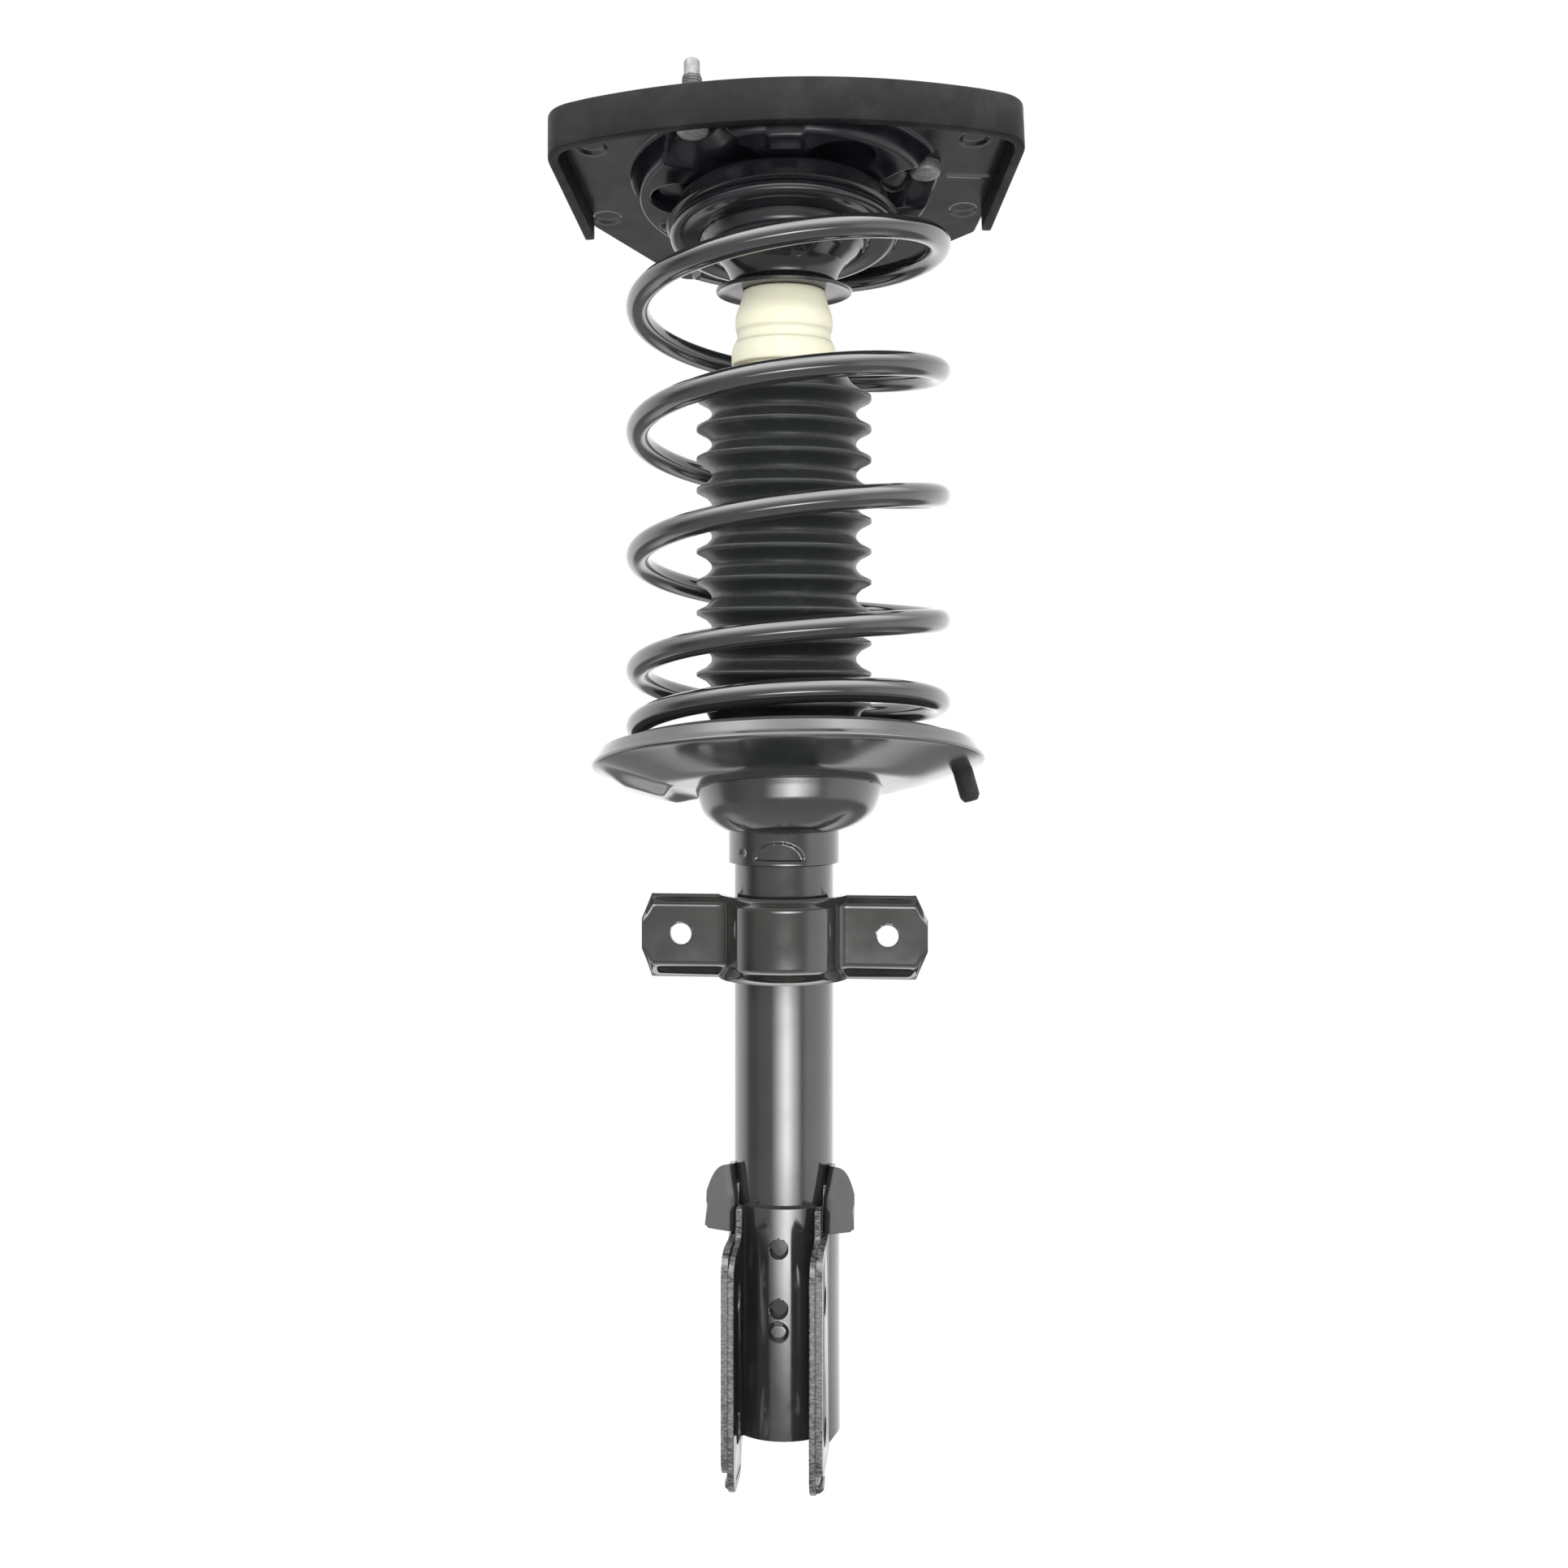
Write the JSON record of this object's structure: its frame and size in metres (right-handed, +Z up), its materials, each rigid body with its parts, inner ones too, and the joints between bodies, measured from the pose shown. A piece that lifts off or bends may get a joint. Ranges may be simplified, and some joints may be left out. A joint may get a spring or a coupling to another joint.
{
  "type": "suspension strut",
  "caption": "Automotive suspension strut: damper with coil spring, dust boot, bump stop, pressed tower mount with studs, hose bracket and clamp bracket for the wheel knuckle",
  "frame": {"origin": "where the piston rod's axis meets the tower face of the mount, which is the centre of the three studs' circle", "axes": "+Z up along the piston rod; +X along the two bolts of the knuckle bracket; -Y is the side on which the bracket opens towards the knuckle"},
  "size_m": [0.2332, 0.2321, 0.6972],
  "materials": {
    "coated_steel": "gloss black dip coat on pressed steel",
    "coated_spring_steel": "gloss black powder coat on spring wire",
    "soft_rubber": "matt black moulded rubber",
    "hard_rubber": "satin black moulded rubber",
    "boot_rubber": "satin black blow-moulded elastomer",
    "foam": "cream microcellular foam",
    "zinc_steel": "bright zinc plating",
    "rod_chrome": "hard chrome, ground",
    "plain_steel": "bright drawn steel",
    "sintered_iron": "sintered iron, oiled",
    "bearing_plastic": "filled low-friction plastic",
    "bronze": "bronze-backed bearing strip"
  },
  "bodies": {
    "upper_mount": {"mount_plate": "coated_steel", "rim_seal": "soft_rubber", "tower_studs": "zinc_steel", "spring_pilot": "coated_steel", "pilot_bell": "coated_steel", "upper_insulator": "hard_rubber", "bushing_shell": "coated_steel", "mount_bushing": "hard_rubber", "bushing_sleeve": "zinc_steel", "top_washer": "zinc_steel", "rod_nut": "zinc_steel", "stop_washer": "coated_steel", "bump_stop": "foam", "piston_rod": "rod_chrome", "rebound_ring": "plain_steel", "rebound_bumper": "hard_rubber", "piston": "sintered_iron", "piston_band": "bearing_plastic", "piston_nut": "zinc_steel", "coil_spring": "coated_spring_steel", "dust_boot": "boot_rubber"},
    "damper_body": {"strut_tube": "coated_steel", "bump_cap": "coated_steel", "rod_seal": "hard_rubber", "rod_guide": "sintered_iron", "guide_bushing": "bronze", "pressure_tube": "plain_steel", "foot_valve": "sintered_iron", "base_cap": "coated_steel", "spring_seat": "coated_steel", "seat_collar": "coated_steel", "lower_insulator": "hard_rubber", "hose_bracket": "coated_steel", "knuckle_bracket_outer": "coated_steel", "knuckle_bracket_inner": "coated_steel"},
    "piston_valve": {"piston_check_plate": "plain_steel"},
    "foot_valve_plate": {"foot_check_plate": "plain_steel"}
  },
  "joints": [
    {"name": "strut_travel", "type": "slide", "parent": "upper_mount", "child": "damper_body", "axis": [0, 0, 1], "range_m": [0, 0.135], "stiffness_N_per_m": 28000, "springref_m": -0.03, "deforming": ["coil_spring", "dust_boot", "bump_stop"]},
    {"name": "piston_valve_lift", "type": "slide", "parent": "upper_mount", "child": "piston_valve", "axis": [0, 0, 1], "range_m": [0, 0.00095], "stiffness_N_per_m": 500, "springref_m": -0.002},
    {"name": "foot_valve_lift", "type": "slide", "parent": "damper_body", "child": "foot_valve_plate", "axis": [0, 0, 1], "range_m": [0, 0.00095], "stiffness_N_per_m": 500, "springref_m": -0.002}
  ]
}
